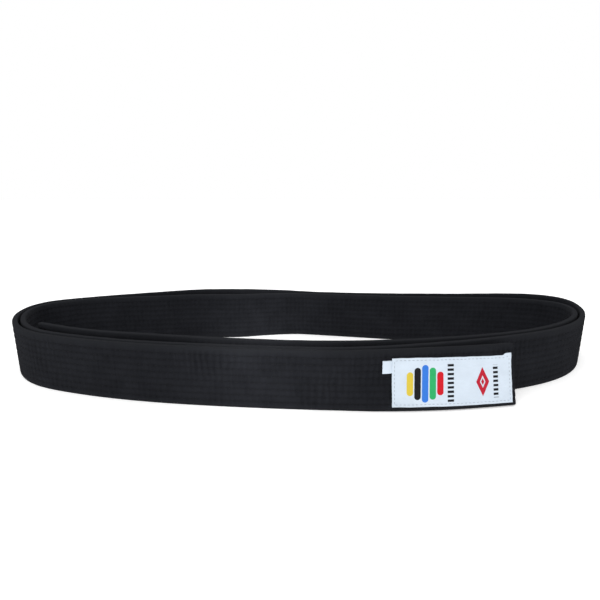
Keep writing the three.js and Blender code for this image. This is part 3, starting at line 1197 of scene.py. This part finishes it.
class StitchTool:
    """A Geometry Nodes tree that lays one thread bead on each point of a row of stitching."""

    def __init__(self, name: str) -> None:
        """Builds the tree, with its sizes as named inputs."""
        self.tree = bpy.data.node_groups.new(name, "GeometryNodeTree")
        self.sockets: dict[str, str] = {}
        self.tree.interface.new_socket("Rows", in_out="INPUT", socket_type="NodeSocketGeometry")
        for size in ("Stitch length", "Thread width", "Thread height", "End droop"):
            self._input(size, "NodeSocketFloat")
        self._input("Seed", "NodeSocketInt")
        self._input("Thread", "NodeSocketMaterial")
        self.tree.interface.new_socket("Stitches", in_out="OUTPUT", socket_type="NodeSocketGeometry")
        self._wire(Graph(self.tree))

    def _input(self, name: str, kind: str) -> None:
        """Adds a named input and keeps its identifier."""
        socket = self.tree.interface.new_socket(name, in_out="INPUT", socket_type=kind)
        self.sockets[name] = socket.identifier

    def _wire(self, graph: Graph) -> None:
        """Adds the nodes."""
        given = graph.add("NodeGroupInput", {}, {}, "Rows")
        ball = graph.add("GeometryNodeMeshUVSphere", {}, {"Segments": 6, "Rings": 5, "Radius": 1.0}, "Mesh")
        x, y, z = graph.add("GeometryNodeInputPosition").parts()
        length, width, height = (given.other(n) for n in ("Stitch length", "Thread width", "Thread height"))
        droop = given.other("End droop") * (z ** 4)
        bead_place = graph.joined(z * length * 0.5, x * width * 0.5, y * height * 0.5 - droop)
        bead = graph.add("GeometryNodeSetPosition", {}, {"Geometry": ball, "Position": bead_place})
        curve = graph.add("GeometryNodeMeshToCurve", {}, {"Mesh": given})
        tangent = graph.add("GeometryNodeInputTangent")
        vector = {"data_type": "FLOAT_VECTOR"}
        outward = graph.add("GeometryNodeInputNamedAttribute", vector, {"Name": "outward"})
        axes = {"primary_axis": "X", "secondary_axis": "Z"}
        directions = {"Primary Axis": tangent, "Secondary Axis": outward}
        turn = graph.add("FunctionNodeAxesToRotation", axes, directions)
        least, most = (0.9, 0.88, 0.85), (1.03, 1.1, 1.12)
        sizes = {"Min": least, "Max": most, "Seed": given.other("Seed")}
        scale = graph.add("FunctionNodeRandomValue", vector, sizes, "Value")
        inputs = {"Points": curve, "Instance": bead, "Rotation": turn, "Scale": scale}
        laid = graph.add("GeometryNodeInstanceOnPoints", {}, inputs)
        real = graph.add("GeometryNodeRealizeInstances", {}, {"Geometry": laid})
        smooth = graph.add("GeometryNodeSetShadeSmooth", {}, {"Geometry": real})
        inputs = {"Geometry": smooth, "Material": given.other("Thread")}
        final = graph.add("GeometryNodeSetMaterial", {}, inputs)
        graph.add("NodeGroupOutput", {}, {"Stitches": final})

    def sew(
        self,
        name: str,
        rows: Sequence[tuple[np.ndarray, np.ndarray]],
        sizes: Mapping[str, Any],
        material: bpy.types.Material,
    ) -> bpy.types.Object:
        """Lays the stitches of one piece.

        Args:
            name: The piece's name.
            rows: For each row, the stitches' middles and the direction that each faces.
            sizes: The tree's inputs by name, in metres.
            material: The thread's finish.

        Returns:
            A plain mesh object.
        """
        points = np.vstack([middles for middles, _ in rows])
        facing = np.vstack([directions for _, directions in rows])
        edges, start = [], 0
        for middles, _ in rows:
            edges += [(start + i, start + i + 1) for i in range(len(middles) - 1)]
            start += len(middles)
        mesh = bpy.data.meshes.new(name)
        mesh.from_pydata(points.tolist(), edges, [])
        attribute = mesh.attributes.new("outward", "FLOAT_VECTOR", "POINT")
        attribute.data.foreach_set("vector", facing.astype(np.float32).ravel())
        obj = bpy.data.objects.new(name, mesh)
        bpy.context.scene.collection.objects.link(obj)
        modifier = obj.modifiers.new("stitches", "NODES")
        modifier.node_group = self.tree
        for label, value in {**sizes, "Thread": material}.items():
            modifier[self.sockets[label]] = value
        graph = bpy.context.evaluated_depsgraph_get()
        result = bpy.data.meshes.new_from_object(obj.evaluated_get(graph))
        obj.modifiers.clear()
        obj.data = result
        result.name = name
        bpy.data.meshes.remove(mesh)
        return obj


@dataclass
class Lockstitch:
    """The eight rows of stitching on each face, with an upright row that ties them at each end."""

    line: BeltLine
    tool: StitchTool
    material: bpy.types.Material
    depth: float = 1.70 * MM
    sizes: dict[str, float] = field(default_factory=lambda: {
        "Stitch length": 3.7 * MM,
        "Thread width": 0.46 * MM,
        "Thread height": 0.44 * MM,
        "End droop": 0.2 * MM,
    })

    def _rows(self, part: Part, face: Face) -> list[tuple[np.ndarray, np.ndarray]]:
        """The rows of one stretch on one face."""
        low, high = 0.0, self.line.length
        count = round((part.end - part.start) / STITCH_PITCH)
        along = part.start + (np.arange(count) + 0.5) * STITCH_PITCH
        along = along[(along > low + END_ROW) & (along < high - END_ROW)]
        rows = []
        for row in range(ROW_COUNT):
            rows.append(self._row(along, np.full_like(along, ROW_MARGIN + row * ROW_PITCH), face))
        for end, at in ((part.start == low, low + END_ROW), (part.end == high, high - END_ROW)):
            if end:
                up = np.arange(ROW_MARGIN + 1.2 * MM, WIDTH - ROW_MARGIN, STITCH_PITCH * 0.9)
                rows.append(self._row(np.full_like(up, at), up, face))
        return rows

    def _row(self, along: np.ndarray, up: np.ndarray, face: Face) -> tuple[np.ndarray, np.ndarray]:
        """One row's stitches: where each lies and which way it faces."""
        middles = self.line.place(along, up, face.value * self.depth)
        return middles, self.line.outward_at(along) * face.value

    def build(self, parts: BeltParts) -> None:
        """Sews every stretch, on both faces."""
        for part in parts.all:
            for face, kind in ((Face.OUTER, "needle"), (Face.INNER, "bobbin")):
                nodes = [f"{kind}_rows_{part.body}"]
                if part.body in ("winding", "outer_lap"):
                    nodes = [f"{kind}_row_{row + 1}_{part.body}" for row in range(ROW_COUNT)]
                sizes = {**self.sizes, "Seed": 11 + face.value}
                name = f"{kind}_stitches_{part.body}"
                obj = self.tool.sew(name, self._rows(part, face), sizes, self.material)
                part.settle(obj, self.line, "black_thread", nodes)


# ------------------------------------------------------------------------------ the label and the tag


@dataclass
class LabelCloth:
    """The woven label, sewn flat over the stitching of the outer end."""

    line: BeltLine
    start: float = 3.0 * MM
    length: float = 80.4 * MM
    low: float = 2.6 * MM
    height: float = 32.1 * MM
    askew: float = 1.0 * MM
    narrowing: float = 0.045
    frayed: float = 5.6 * MM
    back: float = 2.02 * MM
    thickness: float = 0.34 * MM
    border: float = 1.55 * MM
    stitch: float = 2.6 * MM
    columns: int = 150
    rows: int = 62

    def _surface(self, s: np.ndarray, t: np.ndarray) -> tuple[np.ndarray, np.ndarray, np.ndarray]:
        """Where the label lies at shares s and t of its length and height.

        Args:
            s: Shares of the way from the belt's tip, 0 to 1.
            t: Shares of the way up, 0 to 1.

        Returns:
            The length along the belt, the height and the distance out of the label's back.
        """
        along = self.start + s * self.length
        up = t * self.height
        top_wave = 0.22 * MM * ripple(along, 0 * along, 21) * t ** 3
        low_wave = 0.16 * MM * ripple(along, 0 * along, 22) * (1 - t) ** 3
        left_wave = (0.12 * MM * ripple(up, 0 * up, 23) + 0.5 * MM * (2 * t - 1)) * s ** 6
        right_wave = 0.12 * MM * ripple(up, 0 * up, 24) * (1 - s) ** 6
        lifted = np.exp(-((s * self.length) / (5 * MM)) ** 2 - ((1 - t) * self.height / (4 * MM)) ** 2)
        narrowed = up * (1 - self.narrowing * (1 - s))
        corner = np.clip((self.frayed - s * self.length) / (1.5 * MM), 0, 1) + 0.6 * lifted
        height = self.low + narrowed + self.askew * (s - 0.5) + top_wave + low_wave
        height = height + 1.1 * MM * corner * t ** 14
        edge = np.minimum(np.minimum(s, 1 - s) * self.length, np.minimum(t, 1 - t) * self.height)
        sewn = np.exp(-((edge - self.border) / (0.7 * MM)) ** 2)
        holes = 0.5 + 0.5 * np.cos(2 * math.pi * (along + up) / self.stitch)
        row = (self.low + up - ROW_MARGIN) / ROW_PITCH
        quilt = np.cos(2 * math.pi * row)
        out = self.back + 0.16 * MM - 0.16 * MM * sewn * (0.5 + 0.5 * holes) - 0.07 * MM * quilt
        out = out + 0.06 * MM * ripple(along, up, 25) + 0.55 * MM * lifted
        over_tag = np.exp(-(((1 - s) * self.length) / (4.5 * MM)) ** 2)
        beside = (up + self.low - TAG_LOW - TAG_HEIGHT / 2) / (TAG_HEIGHT / 2 + 1.2 * MM)
        out = out + 0.42 * MM * over_tag * np.exp(-beside ** 6)
        return along + left_wave - right_wave, height, out

    def cloth(self, material: bpy.types.Material) -> bpy.types.Object:
        """Builds the label's cloth as a thin closed shell."""
        columns, rows = self.columns, self.rows
        s, t = np.meshgrid(np.linspace(0, 1, columns), np.linspace(0, 1, rows), indexing="ij")
        along, height, out = self._surface(s, t)
        edge = np.minimum(np.minimum(s, 1 - s) * self.length, np.minimum(t, 1 - t) * self.height)
        soft = 0.12 * MM * np.exp(-edge / (0.25 * MM))
        front = self.line.place(along, height, out + self.thickness - soft)
        back = self.line.place(along, height, out)
        shell = Shell()
        first = shell.put(front)
        second = shell.put(back)
        u = (1 - s) * self.length
        v = t * self.height

        def number(i: int, j: int) -> int:
            """The index of a grid point on the front."""
            return i * rows + j

        for i in range(columns - 1):
            for j in range(rows - 1):
                spots = [(i, j), (i + 1, j), (i + 1, j + 1), (i, j + 1)]
                uvs = [(u[spot], v[spot]) for spot in spots]
                shell.faces.append(tuple(first + number(*spot) for spot in spots))
                shell.uvs += uvs
                shell.faces.append(tuple(second + number(*spot) for spot in reversed(spots)))
                shell.uvs += uvs[::-1]
        edge_walk = [(i, 0) for i in range(columns)] + [(columns - 1, j) for j in range(1, rows)]
        edge_walk += [(i, rows - 1) for i in range(columns - 2, -1, -1)]
        edge_walk += [(0, j) for j in range(rows - 2, 0, -1)]
        for a, b in zip(edge_walk, edge_walk[1:] + edge_walk[:1]):
            quad = (first + number(*b), first + number(*a), second + number(*a), second + number(*b))
            shell.faces.append(quad)
            shell.uvs += [(u[b], v[b]), (u[a], v[a]), (u[a], v[a]), (u[b], v[b])]
        return shell.object("label_cloth", material)

    def stitching(self, tool: StitchTool, material: bpy.types.Material) -> bpy.types.Object:
        """Builds the frame of stitches that holds the label down."""
        rows = []
        wide = self.length - 2 * self.border
        tall = self.height - 2 * self.border
        for share in (0.0, 1.0):
            count = int(wide / self.stitch)
            s = (self.border + (np.arange(count) + 0.5) * wide / count) / self.length
            t = np.full_like(s, (self.border + share * tall) / self.height)
            rows.append(self._stitch_row(s, t))
            count = int(tall / self.stitch)
            t = (self.border + (np.arange(count) + 0.5) * tall / count) / self.height
            s = np.full_like(t, (self.border + share * wide) / self.length)
            rows.append(self._stitch_row(s, t))
        sizes = {
            "Stitch length": 1.9 * MM,
            "Thread width": 0.36 * MM,
            "Thread height": 0.34 * MM,
            "End droop": 0.16 * MM,
            "Seed": 31,
        }
        return tool.sew("label_border_stitches", rows, sizes, material)

    def _stitch_row(self, s: np.ndarray, t: np.ndarray) -> tuple[np.ndarray, np.ndarray]:
        """Stitches lying on the label's front."""
        along, height, out = self._surface(s, t)
        middles = self.line.place(along, height, out + self.thickness + 0.04 * MM)
        return middles, self.line.outward_at(along)

    def build(self, satin: bpy.types.Material, thread: bpy.types.Material, tool: StitchTool) -> None:
        """Builds the label and sews it on."""
        ride = Part("outer_end", self.start, self.start + self.length)
        cloth = self.cloth(satin)
        ride.settle(cloth, self.line, "label_satin", ["label"])
        stitches = self.stitching(tool, thread)
        ride.settle(stitches, self.line, "white_thread", ["label_stitching"])


@dataclass
class SizeTag:
    """The blank size tag: a tape folded in two, its open end caught under the label."""

    line: BeltLine
    hinge: float = 83.7 * MM
    reach: float = 6.2 * MM
    tuck: float = 2.6 * MM
    tape: float = 0.26 * MM
    gap: float = 0.34 * MM

    def _path(self) -> np.ndarray:
        """The tape's middle line in plan, as lengths past the hinge and distances out."""
        inner, spread = 2.10 * MM, self.gap + self.tape
        leaf = np.linspace(-self.tuck, self.reach - 0.6 * MM, 16)
        eased = np.clip((leaf + 0.4 * MM) / (3 * MM), 0, 1)
        swell = eased * eased * (3 - 2 * eased)
        under = inner + 0.12 * MM * swell
        over = inner + self.tape + 0.02 * MM + (spread - self.tape + 0.22 * MM) * swell
        turn = np.linspace(-math.pi / 2, math.pi / 2, 9)[1:-1]
        radius = (over[-1] - under[-1]) / 2
        middle = (over[-1] + under[-1]) / 2
        past = leaf[-1] + 0.75 * radius * np.cos(turn) + 0.1 * MM
        bow = np.stack([past, middle + radius * np.sin(turn)], 1)
        return np.vstack([np.stack([leaf, under], 1), bow, np.stack([leaf, over], 1)[::-1]])

    def tape_loop(self, material: bpy.types.Material) -> bpy.types.Object:
        """Builds the folded tape as a thin closed shell."""
        path = self._path()
        heading = np.gradient(path, axis=0)
        heading /= np.linalg.norm(heading, axis=1)[:, None]
        side = np.stack([-heading[:, 1], heading[:, 0]], 1) * self.tape / 2
        walked = np.r_[0, np.cumsum(np.linalg.norm(np.diff(path, axis=0), axis=1))]
        up = np.linspace(0, 1, 15)
        edge = 0.1 * MM * np.sin(up * 21)
        shell = Shell()
        ring_points = []
        for sign in (1, -1):
            plan = path + sign * side
            for j, share in enumerate(up if sign > 0 else up[::-1]):
                wobble = edge[j] * (plan[:, 0] / self.reach)
                along = self.hinge + plan[:, 0] + wobble * 0.3
                height = TAG_LOW + share * TAG_HEIGHT
                ring_points.append(self.line.place(along, height, plan[:, 1]))
        points = np.stack(ring_points, 1)
        ring = points.shape[1]
        side_length = TAG_HEIGHT + self.tape
        v = np.r_[up * TAG_HEIGHT, side_length + up * TAG_HEIGHT, 2 * side_length]
        first = shell.put(points)
        shell.loft(first, len(path), ring, walked, v)
        last = first + (len(path) - 1) * ring
        shell.cap(first, ring, True, [(0.0, place) for place in v[:-1]])
        shell.cap(last, ring, False, [(walked[-1], place) for place in v[:-1]])
        return shell.object("size_tag_tape", material)

    def build(self, material: bpy.types.Material) -> None:
        """Builds the tag at the label's edge."""
        tag = self.tape_loop(material)
        bend = Bend("outer_end", "size_tag", self.hinge - 0.1 * MM, self.hinge + 1.3 * MM)
        part = Part("size_tag", self.hinge, self.hinge + self.reach, bend)
        part.settle(tag, self.line, "tag_tape", ["size_tag"])


# -------------------------------------------------------------------------------------- the studio


@dataclass(frozen=True)
class Studio:
    """The camera, the pale floor and the soft lights."""

    eye: PLACE = (-5.38 * MM, -338.78 * MM, 142.3 * MM)
    tilt: float = 75.0
    lens: float = 26.76
    floor_size: float = 6.0
    floor_drop: float = 0.05 * MM
    glance_from: PLACE = (0.086, -1.2, 0.45)

    def camera(self) -> None:
        """Sets up the camera."""
        data = bpy.data.cameras.new("camera")
        data.lens = self.lens
        data.sensor_width = 36
        data.clip_start = 0.01
        obj = bpy.data.objects.new("camera", data)
        obj.location = self.eye
        obj.rotation_euler = (math.radians(self.tilt), 0, 0)
        bpy.context.scene.collection.objects.link(obj)
        bpy.context.scene.camera = obj

    def floor(self) -> None:
        """Lays the floor."""
        half = self.floor_size / 2
        corners = [(-half, -half), (half, -half), (half, half), (-half, half)]
        mesh = bpy.data.meshes.new("floor")
        mesh.from_pydata([(x, y, -self.floor_drop) for x, y in corners], [], [(0, 1, 2, 3)])
        mesh.materials.append(PaleFloor().material())
        obj = bpy.data.objects.new("floor", mesh)
        bpy.context.scene.collection.objects.link(obj)

    def _hang(self, data: bpy.types.Light, power: float, place: PLACE, aim: PLACE) -> None:
        """Hangs a light of so many watts at a place, aimed at a point."""
        data.energy = power
        obj = bpy.data.objects.new(data.name, data)
        obj.location = place
        obj.rotation_euler = (Vector(aim) - Vector(place)).to_track_quat("-Z", "Y").to_euler()
        bpy.context.scene.collection.objects.link(obj)

    def _lamp(self, name: str, size: tuple[float, float]) -> bpy.types.Light:
        """A soft rectangular light."""
        data = bpy.data.lights.new(name, "AREA")
        data.shape = "RECTANGLE"
        data.size, data.size_y = size
        return data

    def _spot(self, name: str, angle: float) -> bpy.types.Light:
        """A narrow light with a soft edge, so many degrees wide."""
        data = bpy.data.lights.new(name, "SPOT")
        data.spot_size = math.radians(angle)
        data.spot_blend = 1.0
        data.shadow_soft_size = 0.04
        return data

    def lights(self) -> None:
        """Hangs the lights and sets the surroundings."""
        self._hang(self._lamp("overhead", (1.4, 1.0)), 3.0, (-0.1, 0.1, 1.1), (0, 0, 0))
        self._hang(self._lamp("front", (0.9, 0.5)), 4.5, (-0.5, -1.0, 0.6), (0, 0, 0.02))
        self._hang(self._spot("front_glance", 4.2), 54.0, self.glance_from, (-0.032, -0.08, 0.02))
        self._hang(self._spot("back_glance", 4.0), 64.0, self.glance_from, (-0.042, 0.062, 0.02))
        world = bpy.data.worlds.new("studio")
        world.use_nodes = True
        background = world.node_tree.nodes["Background"]
        background.inputs["Color"].default_value = (1, 1, 1, 1)
        background.inputs["Strength"].default_value = 1.0
        bpy.context.scene.world = world
        bpy.context.scene.view_settings.view_transform = "Standard"

    def build(self) -> None:
        """Sets up everything but the object."""
        self.camera()
        self.floor()
        self.lights()


def main() -> None:
    """Builds the belt, piece by piece, inside its studio."""
    logging.basicConfig(level=logging.INFO, format="%(name)s: %(message)s")
    Studio().build()
    line = centred_line()
    parts = BeltParts(line)
    black, black_shadow = (0.0135, 0.0142, 0.0165), (0.005, 0.005, 0.006)
    white, white_shadow = (0.38, 0.42, 0.48), (0.20, 0.23, 0.27)
    black_thread = SpunThread("black_thread", black, black_shadow, 0.06).material()
    white_thread = SpunThread("white_thread", white, white_shadow, 0.2).material()
    tool = StitchTool("stitch_tool")
    CoverCloth(line, BlackCotton().material()).build(parts)
    CorePlies(line, CoreCanvas().material()).build(parts)
    Lockstitch(line, tool, black_thread).build(parts)
    LabelCloth(line).build(WovenLabel().material(), white_thread, tool)
    SizeTag(line).build(TagTape().material())


if __name__ == "__main__":
    main()
